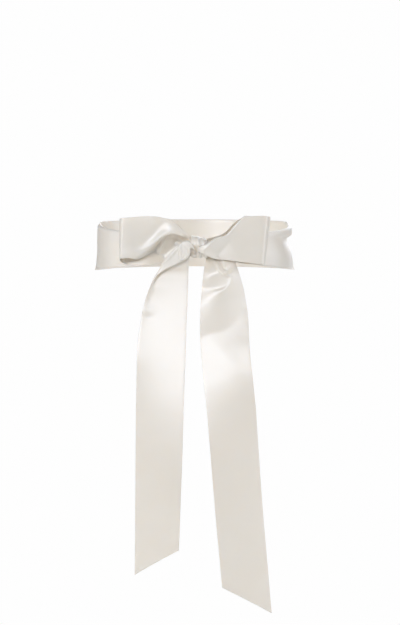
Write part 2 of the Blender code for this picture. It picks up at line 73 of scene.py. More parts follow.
lens = bpy.data.cameras.new("long_lens")
lens.sensor_width = SENSOR
lens.lens = SENSOR * -CAMERA_PLACE[1] / FIELD_HEIGHT
lens.clip_end = 60
camera = bpy.data.objects.new("camera", lens)
camera.location = CAMERA_PLACE
camera.rotation_euler = (math.radians(90), 0, 0)
bpy.context.scene.collection.objects.link(camera)
bpy.context.scene.camera = camera
print(f"lens {lens.lens:.0f} mm")

# %% [markdown]
# ## How a ribbon is described
#
# A ribbon can be modelled as a flat strip and bent by hand, or simulated as cloth. Both make it
# hard to keep a fold just where it is wanted. Here the ribbon is a row of cuts instead, as if it
# was sliced across every few centimetres. Each cut has a place, a direction and a width, and the
# cloth in it only turns, at a fold or along a ripple. A smooth curve then joins the cuts. Where the
# ribbon is squeezed the cuts are narrower, which stands for gathers that are too fine to draw.

# %% Reading a table of cuts
RIBBON_WIDTH = 0.068
CLOTH = 0.0004  # the thickness of the sheet, in metres
SELVEDGE = 0.0012  # how far the woven edge reaches in
SELVEDGE_EXTRA = 0.0003  # how much thicker it is there
SELVEDGE_CURL = 0.0006
CURL_REACH = 1.3 * SELVEDGE
FINE_STEPS = 420
DENSE_STATIONS = 340


def table(names, rows):
    """A table of rows as one array for each named column."""
    values = np.array(rows, float)
    return {name: values[:, k] for k, name in enumerate(names.split())}


def read_smoothly(at, values, wanted):
    """The cubic curve through a column's values, read at the wanted places."""
    slopes = np.gradient(values, at)
    k = np.clip(np.searchsorted(at, wanted, side="right") - 1, 0, len(at) - 2)
    span = at[k + 1] - at[k]
    t = np.clip((wanted - at[k]) / span, 0.0, 1.0)
    start = values[k] * (1 + 2 * t) * (1 - t) ** 2 + slopes[k] * span * t * (1 - t) ** 2
    end = values[k + 1] * t * t * (3 - 2 * t) + slopes[k + 1] * span * t * t * (t - 1)
    return start + end


def soften(values, spread):
    """Evens out a column over its neighbours, and keeps its two ends."""
    reach = int(3 * spread) + 1
    weights = np.exp(-0.5 * (np.arange(-reach, reach + 1) / spread) ** 2)
    weights /= weights.sum()
    before = 2 * values[0] - values[reach:0:-1]
    after = 2 * values[-1] - values[-2 : -reach - 2 : -1]
    return np.convolve(np.concatenate([before, values, after]), weights, mode="valid")


def smooth_step(x):
    """From 0 at -1 to 1 at +1, with no corner."""
    x = np.clip(x, -1.0, 1.0)
    return 0.5 + 0.75 * x - 0.25 * x**3


def before(flat, place, soft):
    """1 on the stretch before a place along the ribbon and 0 after it, with a soft change."""
    return smooth_step((place - flat[..., 0]) / soft)


# %% [markdown]
# A cut is drawn as a walk: the pen starts at one edge of the ribbon and its heading changes at each
# fold. Columns of the mesh lie close together at the two woven edges, where the light catches them.

# %% One cut through the cloth, and the sheet that joins them
def columns_across(count):
    """Shares of the width for the columns of the mesh, closer at the two edges."""
    edge = np.array([0.0, 0.006, 0.014, 0.026])
    return np.concatenate([edge, np.linspace(0.04, 0.96, count - 8), 1 - edge[::-1]])


def cut_through(width, start, ripple, waves, bends, shares):
    """A cut through the cloth from edge to edge, as its places (across, outward)."""
    along = np.linspace(0.0, width, FINE_STEPS)
    wave = np.sin(2 * math.pi * waves * along / width)
    heading = math.radians(start) + math.radians(ripple) * wave
    for place, turn, soft in bends:
        heading = heading + math.radians(turn) * smooth_step((along - place) / soft)
    step = width / (FINE_STEPS - 1)
    middle = (heading[1:] + heading[:-1]) / 2
    across = np.concatenate([[0.0], np.cumsum(np.cos(middle))]) * step
    outward = np.concatenate([[0.0], np.cumsum(np.sin(middle))]) * step
    edge = np.minimum(along, width - along)
    outward = outward - SELVEDGE_CURL * np.exp(-((edge / CURL_REACH) ** 2))
    return np.interp(shares * width, along, across), np.interp(shares * width, along, outward)


def directions(facing, pitch, lean):
    """The across and outward directions of a cut, whose cloth faces that way in plan."""
    f, p, tilt = (math.radians(x) for x in (facing, pitch, lean))
    outward = np.array([math.cos(f) * math.cos(p), math.sin(f) * math.cos(p), math.sin(p)])
    right = np.array([-math.sin(f), math.cos(f), 0.0])
    down = np.array([math.cos(f) * math.sin(p), math.sin(f) * math.sin(p), -math.cos(p)])
    return math.cos(tilt) * right + math.sin(tilt) * down, outward


def ribbon_sheet(rows, count_along, count_across, waves=2.5, slant=0.0, crowd=1.0, even_out=2.0):
    """The stretch of ribbon as a grid of points, with each point's place on the flat ribbon."""
    at = rows["along"]
    dense = np.linspace(at[0], at[-1], DENSE_STATIONS)
    values = {name: soften(read_smoothly(at, rows[name], dense), even_out) for name in rows}
    bend_names = [name[:-3] for name in rows if name.endswith("_at")]
    shares = columns_across(count_across)
    sheet = np.empty((DENSE_STATIONS, count_across, 3))
    for i in range(DENSE_STATIONS):
        row = {name: float(values[name][i]) for name in values}
        bends = [tuple(row[name + end] for end in ("_at", "_turn", "_soft")) for name in bend_names]
        across, outward = cut_through(
            row["width"], row.get("start", 0.0), row.get("ripple", 0.0), waves, bends, shares
        )
        along_cloth, away = directions(row["facing"], row.get("pitch", 0.0), row["lean"])
        origin = np.array([row["x"], row["y"], row["z"]])
        sheet[i] = origin + np.outer(across, along_cloth) + np.outer(outward, away)
    u = np.linspace(0.0, 1.0, count_along) ** crowd
    end_places = np.linalg.norm(sheet[-1] - sheet[-1, 0], axis=1)
    grid = np.empty((count_along, count_across, 3))
    flat = np.empty((count_along, count_across, 2))
    for j in range(count_across):
        length = at[-1] - slant * (1 - end_places[j] / end_places[-1])
        wanted = at[0] + u * (length - at[0])
        flat[:, j, 0] = wanted
        flat[:, j, 1] = shares[j] * RIBBON_WIDTH
        for axis in range(3):
            grid[:, j, axis] = np.interp(wanted, dense, sheet[:, j, axis])
    return grid, flat


# %% [markdown]
# Creases are drawn on the cloth as a tailor would chalk them: a line of a few points, each with how
# wide and how high the crease is there. A height below zero makes a trough. The line is given in x
# and z, as it is seen from the side of the bow, and `where` keeps it to one layer of a folded
# piece. A round hollow isn't a line. There, an oval part of the cloth leans, which shades it as a
# whole.

# %% Creases, and cloth that can be seen from both sides
def relax(field, times):
    """Each inner value moves towards its neighbours, so that nothing stays abrupt."""
    field = field.copy()
    for _ in range(times):
        inner = (field[:-2, 1:-1] + field[2:, 1:-1] + field[1:-1, :-2] + field[1:-1, 2:]) / 4
        field[1:-1, 1:-1] = (field[1:-1, 1:-1] + inner) / 2
        field[:, 0] = (field[:, 0] + field[:, 1]) / 2
        field[:, -1] = (field[:, -1] + field[:, -2]) / 2
    return field


def raise_creases(grid, creases, where=1.0, even_out=0):
    """Moves the points of a sheet towards the bow's side along soft creases drawn on it.

    A crease may have one side that falls away straight, over `left_width` on the left of the
    line's way, to the height `fall_to`, and comes back slowly from there.
    """
    grid = grid.copy()
    place = grid[:, :, [0, 2]]
    for crease in creases:
        nearest = np.full(place.shape[:2], np.inf)
        push = np.zeros(place.shape[:2])
        one_sided = "left_width" in crease
        reach = crease["left_width"] if one_sided else crease["half_width"]
        low = crease["fall_to"] if one_sided else crease["height"]
        for k in range(len(crease["x"]) - 1):
            start = np.array([crease["x"][k], crease["z"][k]])
            run = np.array([crease["x"][k + 1], crease["z"][k + 1]]) - start
            t = np.clip((place - start) @ run / (run @ run), 0.0, 1.0)
            offset = place - start - t[..., None] * run
            distance = np.linalg.norm(offset, axis=2)
            on_left = run[0] * offset[..., 1] - run[1] * offset[..., 0] > 0
            half_width = crease["half_width"][k] * (1 - t) + crease["half_width"][k + 1] * t
            height = crease["height"][k] * (1 - t) + crease["height"][k + 1] * t
            here = height * np.exp(-((distance / half_width) ** 2))
            if one_sided:
                share = distance / (reach[k] * (1 - t) + reach[k + 1] * t)
                lowest = low[k] * (1 - t) + low[k + 1] * t
                falling = height + (lowest - height) * np.minimum(share, 1.0)
                rising = lowest * np.clip((3.0 - share) / 2, 0.0, 1.0)
                here = np.where(on_left, np.where(share < 1, falling, rising), here)
            closer = distance < nearest
            push = np.where(closer, here, push)
            nearest = np.where(closer, distance, nearest)
        grid[:, :, 1] -= relax(push, even_out) * where
    return grid


def lean_oval(grid, middle, radii, way, far_in, near_out, soft):
    """Leans an oval part of a sheet: along the way its far end goes in and its near end comes out.

    Its rim is soft over these shares of its radius, at the near end and at the far end.
    """
    grid = grid.copy()
    x = (grid[:, :, 0] - middle[0]) / radii[0]
    z = (grid[:, :, 2] - middle[1]) / radii[1]
    share = np.clip((1 + way[0] * x + way[1] * z) / 2, 0.0, 1.0)
    inside = smooth_step((1 - np.hypot(x, z)) / (soft[0] * (1 - share) + soft[1] * share))
    grid[:, :, 1] += (far_in * share - near_out * (1 - share)) * inside
    return grid


def normals_of(grid):
    """The unit normal at each point of a grid, along crossed with across."""
    normals = np.cross(np.gradient(grid, axis=0), np.gradient(grid, axis=1))
    return normals / np.linalg.norm(normals, axis=2, keepdims=True)


def cloth_piece(name, grid, flat):
    """A thin closed shell on the grid, with the flat ribbon's own places as its UV map."""
    rows, columns = grid.shape[:2]
    from_edge = np.minimum(flat[..., 1], RIBBON_WIDTH - flat[..., 1])
    thickness = CLOTH + SELVEDGE_EXTRA * np.exp(-((from_edge / SELVEDGE) ** 2))
    offset = normals_of(grid) * thickness[..., None] / 2
    points = np.concatenate([(grid + offset).reshape(-1, 3), (grid - offset).reshape(-1, 3)])
    back = rows * columns
    i, j = np.meshgrid(np.arange(rows - 1), np.arange(columns - 1), indexing="ij")
    a = (i * columns + j).ravel()
    front_faces = np.stack([a, a + columns, a + columns + 1, a + 1], axis=1)
    back_faces = front_faces[:, ::-1] + back
    rim = [k * columns for k in range(rows)]
    rim += [(rows - 1) * columns + k for k in range(1, columns)]
    rim += [k * columns + columns - 1 for k in range(rows - 2, -1, -1)]
    rim += list(range(columns - 2, 0, -1))
    rim = np.array(rim)
    after = np.roll(rim, -1)
    rim_faces = np.stack([after, rim, back + rim, back + after], axis=1)
    faces = np.concatenate([front_faces, back_faces, rim_faces])
    mesh = bpy.data.meshes.new(name)
    mesh.from_pydata(points, [], faces.tolist())
    mesh.shade_smooth()
    places = np.concatenate([flat.reshape(-1, 2), flat.reshape(-1, 2)])
    corners = np.empty(len(mesh.loops), np.int32)
    mesh.loops.foreach_get("vertex_index", corners)
    uv = mesh.uv_layers.new(name="ribbon")
    uv.data.foreach_set("uv", places[corners].astype(np.float32).ravel())
    made = bpy.data.objects.new(name, mesh)
    bpy.context.scene.collection.objects.link(made)
    return made


def dress(piece, node, flat_size):
    """The piece stands for its solid, rides on the body, and says what size its cloth is cut to."""
    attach(piece, "root")
    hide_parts(node)
    print(piece.name, "of", round(1000 * flat_size[0]), "by", round(1000 * flat_size[1]), "mm")


FINE = 1.0


def count(full):
    return int(full * FINE)


# %% [markdown]
# ## The band round the waist
#
# The band is flat and smooth in front. Towards the knot the ribbon is squeezed together: its upper
# edge folds in towards the waist, and it goes into soft ripples. A crease runs across it at the
# right side, where the waist bends. It is drawn as cuts round an oval waist.

# %% The waistband
WAIST_BREADTH = 0.2725
WAIST_DEPTH = 0.206
FRONT_RISE = 0.008
HIP_FLARE = 0.0028
TOP_FLARE = -0.0005
KNOT_CENTRE = (0.0066, -0.123, -0.0025)
BAND = table(
    "distance z stand_off width ripple fold_at fold_turn fold_soft",
    (
        (0.000, -0.0140, 0.0072, 0.034, 50, 0.030, 110, 0.005),
        (0.014, -0.0145, 0.0072, 0.035, 49, 0.031, 115, 0.005),
        (0.040, -0.0190, 0.0066, 0.046, 36, 0.040, 145, 0.005),
        (0.075, -0.0255, 0.0056, 0.060, 18, 0.047, 160, 0.005),
        (0.115, -0.0300, 0.0045, 0.067, 6, 0.0525, 160, 0.005),
        (0.145, -0.0325, 0.0036, 0.068, 0, 0.0580, 155, 0.005),
        (0.170, -0.0337, 0.0028, 0.068, 0, 0.0625, 140, 0.005),
        (0.190, -0.0340, 0.0020, 0.068, 0, 0.0640, 110, 0.005),
        (0.210, -0.0340, 0.0012, 0.068, 0, 0.0655, 50, 0.005),
        (0.235, -0.0340, 0.0010, 0.068, 0, 0.0660, 0, 0.005),
        (0.420, -0.0340, 0.0010, 0.068, 0, 0.0660, 0, 0.005),
    ),
)

WAIST_STEPS = 1500
BAND_WAVES = 1.5
BAND_END_GAP = 0.0004
PINCH_TURN = math.radians(-86)
PINCH_REACH = math.radians(22)
PINCH_HEIGHT = 0.0100
PINCH_REACH_UP = 0.0040
PINCH_REACH_DOWN = 0.0150
PINCH_DEPTH = 0.0080


def waist_point(turn, height):
    """A point on the waist: turn is 0 at the back and grows towards the left of the bow."""
    share = height / (RIBBON_WIDTH / 2)
    flare = HIP_FLARE * share**2 if share < 0 else TOP_FLARE * share**2
    half_breadth = WAIST_BREADTH / 2 + flare
    half_depth = WAIST_DEPTH / 2 + flare
    return np.array([-half_breadth * math.sin(turn), -half_depth * math.cos(turn), height])


def pinch(turn, height):
    """How far the crease at the side takes the band inward."""
    away = math.remainder(turn - PINCH_TURN, 2 * math.pi) / PINCH_REACH
    rise = height - PINCH_HEIGHT
    across = rise / (PINCH_REACH_UP if rise > 0 else PINCH_REACH_DOWN)
    return PINCH_DEPTH * math.exp(-(across**2) - away**2)


def band_sheet(count_along, count_across):
    """The stretch round the waist, from the knot's left side round the front to its right."""
    half_breadth, half_depth = WAIST_BREADTH / 2, WAIST_DEPTH / 2
    knot_turn = -math.asin(KNOT_CENTRE[0] / half_breadth)
    slit = BAND_END_GAP / half_breadth
    fine = np.linspace(knot_turn + slit / 2, knot_turn + 2 * math.pi - slit / 2, WAIST_STEPS)
    steps = np.hypot(half_breadth * np.cos(fine), half_depth * np.sin(fine)) * (fine[1] - fine[0])
    travelled = np.concatenate([[0.0], np.cumsum((steps[1:] + steps[:-1]) / 2)])
    girth = travelled[-1]
    ways = np.linspace(0.0, girth, count_along)
    turns = np.interp(ways, travelled, fine)
    shares = columns_across(count_across)
    grid = np.empty((count_along, count_across, 3))
    flat = np.empty((count_along, count_across, 2))
    for i, (turn, way) in enumerate(zip(turns, ways)):
        distance = min(way, girth - way)
        row = {name: float(read_smoothly(BAND["distance"], BAND[name], distance)) for name in BAND}
        bends = [(row["fold_at"], row["fold_turn"], row["fold_soft"])]
        across, inward = cut_through(row["width"], 0.0, row["ripple"], BAND_WAVES, bends, shares)
        outward = np.array([-math.sin(turn) / half_breadth, -math.cos(turn) / half_depth, 0.0])
        outward /= np.linalg.norm(outward)
        rise = FRONT_RISE * ((1 - math.cos(turn)) / 2) ** 2
        for j, height in enumerate(row["z"] + across):
            away = row["stand_off"] - inward[j] - pinch(turn, height)
            grid[i, j] = waist_point(turn, height) + outward * away
            grid[i, j, 2] += rise
        flat[i, :, 0] = way
        flat[i, :, 1] = shares * RIBBON_WIDTH
    return grid, flat, girth


grid, flat, girth = band_sheet(count(420), count(90))
waistband = cloth_piece("waistband_cloth", grid, flat)
dress(waistband, "waistband", (RIBBON_WIDTH, girth))

# %% [markdown]
# ## The left loop
#
# A loop of a bow is one stretch of ribbon that leaves the knot, turns at its outer end and comes
# back behind. Its front layer is full: a crest runs down it from the knot, and under the crest the
# cloth dips into a hollow. Each of the table's rows has three bends: a soft swell near the upper
# edge, the crest and the hollow.

# %% The left loop
LOOP_TURN = 0.098  # how far along the ribbon each loop turns back, in metres
LOOP_TURN_SOFT = 0.008
LEFT_LOOP = table(
    "along x y z facing pitch lean width start ripple swell_at swell_turn swell_soft"
    " crest_at crest_turn crest_soft hollow_at hollow_turn hollow_soft",
    (
        (0.000, -0.0039, -0.1256, 0.0084, -90, 0, 90, 0.017, 0, 0)
        + (0.001, 0, 0.003, 0.0042, -40, 0.004, 0.0105, 40, 0.004),
        (0.004, -0.0072, -0.1262, 0.0136, -90, 0, 90, 0.025, 0, 0)
        + (0.001, 0, 0.003, 0.0048, -56, 0.004, 0.0130, 56, 0.005),
        (0.008, -0.0110, -0.1272, 0.0178, -90, 0, 90, 0.033, 8, 0)
        + (0.001, 0, 0.003, 0.0055, -76, 0.005, 0.0155, 70, 0.006),
        (0.017, -0.0200, -0.1284, 0.0246, -90, 0, 90, 0.044, 14, 0)
        + (0.002, 0, 0.004, 0.0098, -106, 0.0050, 0.0215, 96, 0.007),
        (0.031, -0.0330, -0.1292, 0.0350, -90, 0, 90, 0.061, 6, 0)
        + (0.0115, 14, 0.0045, 0.0178, -120, 0.0052, 0.0300, 106, 0.008),
        (0.045, -0.0465, -0.1298, 0.0395, -90, 0, 90, 0.067, -4, 0)
        + (0.0215, 26, 0.0055, 0.0285, -116, 0.0060, 0.0420, 100, 0.009),
        (0.061, -0.0620, -0.1302, 0.0412, -90, 0, 90, 0.067, -5, 0)
        + (0.0355, 32, 0.0070, 0.0445, -112, 0.0075, 0.0580, 80, 0.008),
        (0.078, -0.0790, -0.1306, 0.0405, -90, 0, 91, 0.0635, -3, 0)
        + (0.042, 24, 0.0080, 0.0545, -98, 0.0100, 0.0640, 20, 0.006),
        (0.086, -0.0868, -0.1308, 0.0398, -90, 0, 92, 0.0580, -1, 0)
        + (0.041, 14, 0.008, 0.0525, -60, 0.009, 0.0570, 4, 0.008),
        (0.0970, -0.0978, -0.1309, 0.0388, -90, 0, 93, 0.0568, 0, 0)
        + (0.045, 7, 0.008, 0.0538, -24, 0.008, 0.0562, 0, 0.008),
        (0.0998, -0.1006, -0.1308, 0.0385, -92, 0, 93, 0.0564, 0, 0)
        + (0.045, 4, 0.008, 0.0538, -14, 0.008, 0.0558, 0, 0.008),
        (0.1008, -0.1014, -0.1303, 0.0383, -122, 0, 93, 0.0561, 0, 0)
        + (0.045, 2, 0.008, 0.0535, -8, 0.008, 0.0555, 0, 0.008),
        (0.1026, -0.1026, -0.1289, 0.0381, -142, 0, 92, 0.0558, 0, 0)
        + (0.045, 0, 0.008, 0.0530, 0, 0.008, 0.0550, 0, 0.008),
        (0.1060, -0.1040, -0.1258, 0.0377, -158, 0, 91, 0.0564, 0, 0)
        + (0.045, 0, 0.008, 0.0532, 0, 0.008, 0.0556, 0, 0.008),
        (0.1115, -0.1047, -0.1198, 0.0374, -182, -1, 90, 0.0590, 0, 0)
        + (0.045, 0, 0.008, 0.0540, 0, 0.008, 0.0580, 0, 0.008),
        (0.117, -0.1040, -0.1124, 0.0372, -200, -4, 90, 0.062, 0, 0)
        + (0.045, 0, 0.008, 0.0540, 0, 0.008, 0.0600, 0, 0.008),
        (0.126, -0.0985, -0.1058, 0.0372, -240, -9, 88, 0.0645, 0, 0)
        + (0.045, 0, 0.008, 0.0570, 0, 0.008, 0.0620, 0, 0.008),
        (0.138, -0.0880, -0.1034, 0.0375, -265, -12, 87, 0.067, 0, -4)
        + (0.045, 0, 0.008, 0.0600, 0, 0.008, 0.0650, 0, 0.008),
        (0.168, -0.0590, -0.1040, 0.0385, -272, -12, 90, 0.067, 0, -8)
        + (0.042, 0, 0.008, 0.0560, 0, 0.008, 0.0640, 0, 0.008),
        (0.183, -0.0445, -0.1056, 0.0388, -273, -6, 90, 0.063, 0, -20)
        + (0.036, 0, 0.008, 0.0500, 0, 0.008, 0.0600, 0, 0.008),
        (0.198, -0.0310, -0.1078, 0.0362, -274, 0, 90, 0.055, 0, -30)
        + (0.028, 0, 0.008, 0.0420, 0, 0.008, 0.0520, 0, 0.008),
        (0.210, -0.0200, -0.1100, 0.0275, -274, 0, 90, 0.044, 0, -34)
        + (0.021, 0, 0.008, 0.0320, 0, 0.008, 0.0410, 0, 0.008),
        (0.221, -0.0100, -0.1120, 0.0170, -271, 0, 90, 0.033, 0, -36)
        + (0.015, 0, 0.008, 0.0230, 0, 0.008, 0.0300, 0, 0.008),
        (0.227, -0.0039, -0.1126, 0.0120, -270, 0, 90, 0.027, 0, -36)
        + (0.012, 0, 0.008, 0.0180, 0, 0.008, 0.0240, 0, 0.008),
    ),
)

LEFT_LOOP_CREASES = (
    # the crest, which rises towards the viewer before it rolls over
    table(
        "x z half_width height",
        (
            (-0.0870, -0.0125, 0.0050, 0.0002),
            (-0.0750, -0.0070, 0.0050, 0.0006),
            (-0.0610, 0.0010, 0.0050, 0.0008),
            (-0.0520, 0.0086, 0.0050, 0.0010),
            (-0.0440, 0.0160, 0.0050, 0.0010),
            (-0.0350, 0.0205, 0.0045, 0.0008),
            (-0.0250, 0.0222, 0.0040, 0.0004),
        ),
    ),
    # a soft valley between the crest and the upper edge
    table(
        "x z half_width height",
        (
            (-0.0820, 0.0020, 0.0080, 0.0000),
            (-0.0740, 0.0080, 0.0080, -0.0010),
            (-0.0580, 0.0180, 0.0080, -0.0020),
            (-0.0440, 0.0320, 0.0070, -0.0016),
        ),
    ),
    # a swell at the upper edge
    table(
        "x z half_width height",
        (
            (-0.0680, 0.0400, 0.0050, 0.0000),
            (-0.0540, 0.0365, 0.0060, 0.0010),
            (-0.0420, 0.0375, 0.0060, 0.0008),
        ),
    ),
    # a second, smaller fold inside the hollow, under the crest
    table(
        "x z half_width height",
        (
            (-0.0480, -0.0090, 0.0030, 0.0010),
            (-0.0459, -0.0018, 0.0030, 0.0022),
            (-0.0425, 0.0065, 0.0030, 0.0030),
            (-0.0369, 0.0128, 0.0028, 0.0034),
            (-0.0285, 0.0155, 0.0026, 0.0034),
            (-0.0202, 0.0140, 0.0024, 0.0028),
            (-0.0146, 0.0107, 0.0022, 0.0012),
        ),
    ),
    # the cloth under it, which goes in deep beside the leaf of the tail: deeper than it should, as
    # the front layer cuts up to 3 mm through the back layer here, and the back layer shows
    table(
        "x z half_width height",
        (
            (-0.0540, -0.0240, 0.0060, -0.0010),
            (-0.0460, -0.0160, 0.0080, -0.0044),
            (-0.0380, -0.0105, 0.0085, -0.0070),
            (-0.0300, -0.0030, 0.0085, -0.0080),
            (-0.0220, 0.0040, 0.0080, -0.0070),
            (-0.0150, 0.0070, 0.0060, -0.0024),
        ),
    ),
)

grid, flat = ribbon_sheet(LEFT_LOOP, count(300), count(110))
front_layer = before(flat, LOOP_TURN, LOOP_TURN_SOFT)
grid = raise_creases(grid, LEFT_LOOP_CREASES, front_layer)
left_loop = cloth_piece("left_loop_cloth", grid, flat)
dress(left_loop, "left_loop", (RIBBON_WIDTH, 0.227))

# %% [markdown]
# ## The right loop
#
# This one lies flatter, and its upper corner is folded over behind, along a ridge that runs down to
# the knot. The fold is one bend of about half a turn that moves across the ribbon from row to row.

# %% The right loop
RIGHT_LOOP = table(
    "along x y z facing pitch lean width start ripple fold_at fold_turn fold_soft",
    (
        (0.000, 0.0038, -0.1334, -0.0088, -150, 0, -90, 0.004, 0, 0, 0.003, -20, 0.0025),
        (0.005, 0.0064, -0.1380, -0.0088, -112, 0, -90, 0.007, 0, 0, 0.0058, -50, 0.003),
        (0.012, 0.0125, -0.1396, -0.0117, -92, 0, -90, 0.0142, 4, 0, 0.0117, -100, 0.0035),
        (0.021, 0.0200, -0.1378, -0.0156, -88, 0, -90, 0.030, 6, 0, 0.0208, -172, 0.0042),
        (0.031, 0.0300, -0.1340, -0.0186, -88, 0, -90, 0.048, 5, 0, 0.0312, -182, 0.0045),
        (0.043, 0.0430, -0.1315, -0.0200, -89, 0, -90, 0.063, 5, 0, 0.0358, -183, 0.0048),
        (0.0555, 0.0550, -0.1305, -0.0214, -89, 0, -90, 0.067, 4, 0, 0.0495, -178, 0.0048),
        (0.0665, 0.0655, -0.1298, -0.0228, -89, 0, -90, 0.0670, 3, 0, 0.0616, -150, 0.0046),
        (0.0740, 0.0725, -0.1292, -0.0237, -88, 0, -90, 0.0656, 2, 0, 0.0640, -50, 0.0046),
        (0.088, 0.0860, -0.1275, -0.0255, -82, 0, -87, 0.067, 1, 0, 0.066, 0, 0.0048),
        (0.0938, 0.0918, -0.1264, -0.0261, -79, -1, -86, 0.068, 0, 0, 0.067, 0, 0.0048),
        (0.0968, 0.0947, -0.1254, -0.0265, -70, -3, -85, 0.068, 0, 0, 0.067, 0, 0.0048),
        (0.0980, 0.0957, -0.1248, -0.0266, -45, -4, -85, 0.068, 0, 0, 0.067, 0, 0.0048),
        (0.0994, 0.0965, -0.1236, -0.0267, -28, -4, -86, 0.068, 0, 0, 0.067, 0, 0.0048),
        (0.1040, 0.0978, -0.1193, -0.0271, -12, -6, -88, 0.068, 0, 0, 0.067, 0, 0.0048),
        (0.1078, 0.0981, -0.1155, -0.0273, -4, -7, -90, 0.068, 0, 0, 0.067, 0, 0.0048),
        (0.116, 0.0960, -0.1080, -0.0272, 42, -4, -94, 0.068, 0, 0, 0.067, 0, 0.0048),
        (0.128, 0.0860, -0.1030, -0.0262, 78, 0, -94, 0.068, 0, -4, 0.067, 0, 0.0048),
        (0.150, 0.0640, -0.1026, -0.0240, 92, 0, -90, 0.063, 0, -12, 0.062, 0, 0.0048),
        (0.162, 0.0525, -0.1052, -0.0215, 94, 0, -90, 0.053, 0, -22, 0.052, 0, 0.0048),
        (0.172, 0.0430, -0.1078, -0.0190, 95, 0, -90, 0.041, 0, -30, 0.040, 0, 0.0048),
        (0.182, 0.0340, -0.1103, -0.0165, 94, 0, -90, 0.034, 0, -34, 0.033, 0, 0.0048),
        (0.192, 0.0240, -0.1122, -0.0145, 92, 0, -90, 0.029, 0, -36, 0.028, 0, 0.0048),
        (0.201, 0.0164, -0.1130, -0.0125, 90, 0, -90, 0.025, 0, -36, 0.024, 0, 0.0048),
    ),
)

RIGHT_LOOP_CREASES = (
    # the ridge stands up at the knot, and the face falls away from it
    table(
        "x z half_width left_width height fall_to",
        (
            (0.0480, 0.0240, 0.0030, 0.0200, 0.0000, 0.0000),
            (0.0404, 0.0150, 0.0030, 0.0130, 0.0008, -0.0010),
            (0.0313, 0.0085, 0.0028, 0.0160, 0.0016, -0.0030),
            (0.0216, 0.0010, 0.0026, 0.0180, 0.0022, -0.0060),
            (0.0130, -0.0060, 0.0024, 0.0120, 0.0010, -0.0036),
        ),
    ),
    # a long faint fold that fans out from the knot
    table(
        "x z half_width height",
        (
            (0.0260, -0.0140, 0.0030, 0.0004),
            (0.0420, -0.0120, 0.0050, 0.0008),
            (0.0620, -0.0090, 0.0080, 0.0004),
        ),
    ),
)

grid, flat = ribbon_sheet(RIGHT_LOOP, count(300), count(110))
front_layer = before(flat, LOOP_TURN, LOOP_TURN_SOFT)
grid = raise_creases(grid, RIGHT_LOOP_CREASES, front_layer, even_out=10)
right_loop = cloth_piece("right_loop_cloth", grid, flat)
dress(right_loop, "right_loop", (RIBBON_WIDTH, 0.201))

# %% [markdown]
# ## The left tail
#
# A tail leaves the knot bunched together and opens as it falls. This one is folded over towards the
# viewer at the top, like a leaf, and the fold opens into a soft curve half way down. Its end is cut
# on the slant, which is a longer last stretch on one edge than on the other.

# %% The left tail
LEFT_TAIL = table(
    "along x y z facing lean width start fold_at fold_turn fold_soft",
    (
        (-0.006, 0.0006, -0.1326, -0.0105, -90, 268, 0.0090, 0, 0.0060, 150, 0.0030),
        (0.000, -0.0034, -0.1352, -0.0082, -90, 262, 0.0210, 0, 0.0132, 176, 0.0038),
        (0.010, -0.0052, -0.1354, -0.0115, -90, 240, 0.0400, 0, 0.0208, 180, 0.0042),
        (0.020, -0.0066, -0.1346, -0.0165, -90, 222, 0.0460, 0, 0.0238, 180, 0.0046),
        (0.030, -0.0076, -0.1332, -0.0215, -90, 208, 0.0540, 0, 0.0295, 180, 0.0050),
        (0.040, -0.0080, -0.1318, -0.0260, -90, 196, 0.0565, 0, 0.0342, 180, 0.0050),
        (0.050, -0.0081, -0.1307, -0.0300, -90, 186, 0.0565, 0, 0.0388, 180, 0.0052),
        (0.057, -0.0082, -0.1298, -0.0335, -90, 181, 0.0520, 0, 0.0420, 178, 0.0054),
        (0.063, -0.0083, -0.1300, -0.0380, -90, 180, 0.0505, 0, 0.0452, 170, 0.0056),
        (0.069, -0.0084, -0.1308, -0.0435, -90, 180, 0.0520, 0, 0.0480, 150, 0.0062),
        (0.0755, -0.0084, -0.1326, -0.0495, -90, 180, 0.0555, 0, 0.0505, 122, 0.0075),
        (0.084, -0.0086, -0.1346, -0.0570, -90, 180, 0.0555, 0, 0.0515, 92, 0.0080),
        (0.0955, -0.0090, -0.1374, -0.0680, -90, 180, 0.0575, -2, 0.0543, 60, 0.0085),
        (0.114, -0.0096, -0.1422, -0.0860, -90, 180, 0.0617, -4, 0.0590, 26, 0.0100),
        (0.138, -0.0108, -0.1484, -0.1100, -90, 180, 0.0652, -5, 0.0610, 12, 0.0160),
        (0.158, -0.0113, -0.1536, -0.1300, -90, 180, 0.0670, -6, 0.0580, 8, 0.0220),
        (0.179, -0.0118, -0.1588, -0.1510, -90, 180, 0.0680, -7, 0.0540, 6, 0.0280),
        (0.210, -0.0130, -0.1658, -0.1820, -90, 180, 0.0680, -9, 0.0450, 0, 0.0250),
        (0.247, -0.0144, -0.1726, -0.2180, -90, 180, 0.0680, -11, 0.0400, -4, 0.0300),
        (0.290, -0.0157, -0.1786, -0.2610, -90, 180, 0.0680, -13, 0.0370, -6, 0.0320),
        (0.319, -0.0165, -0.1812, -0.2900, -90, 180, 0.0680, -14, 0.0350, -7, 0.0330),
        (0.341, -0.0172, -0.1820, -0.3120, -90, 180, 0.0680, -15, 0.0340, -8, 0.0340),
        (0.380, -0.0186, -0.1808, -0.3505, -90, 180, 0.0680, -17, 0.0340, -9, 0.0340),
        (0.451, -0.0213, -0.1756, -0.4205, -90, 180, 0.0680, -20, 0.0340, -12, 0.0340),
        (0.488, -0.0228, -0.1722, -0.4575, -90, 180, 0.0680, -22, 0.0340, -12, 0.0340),
    ),
)

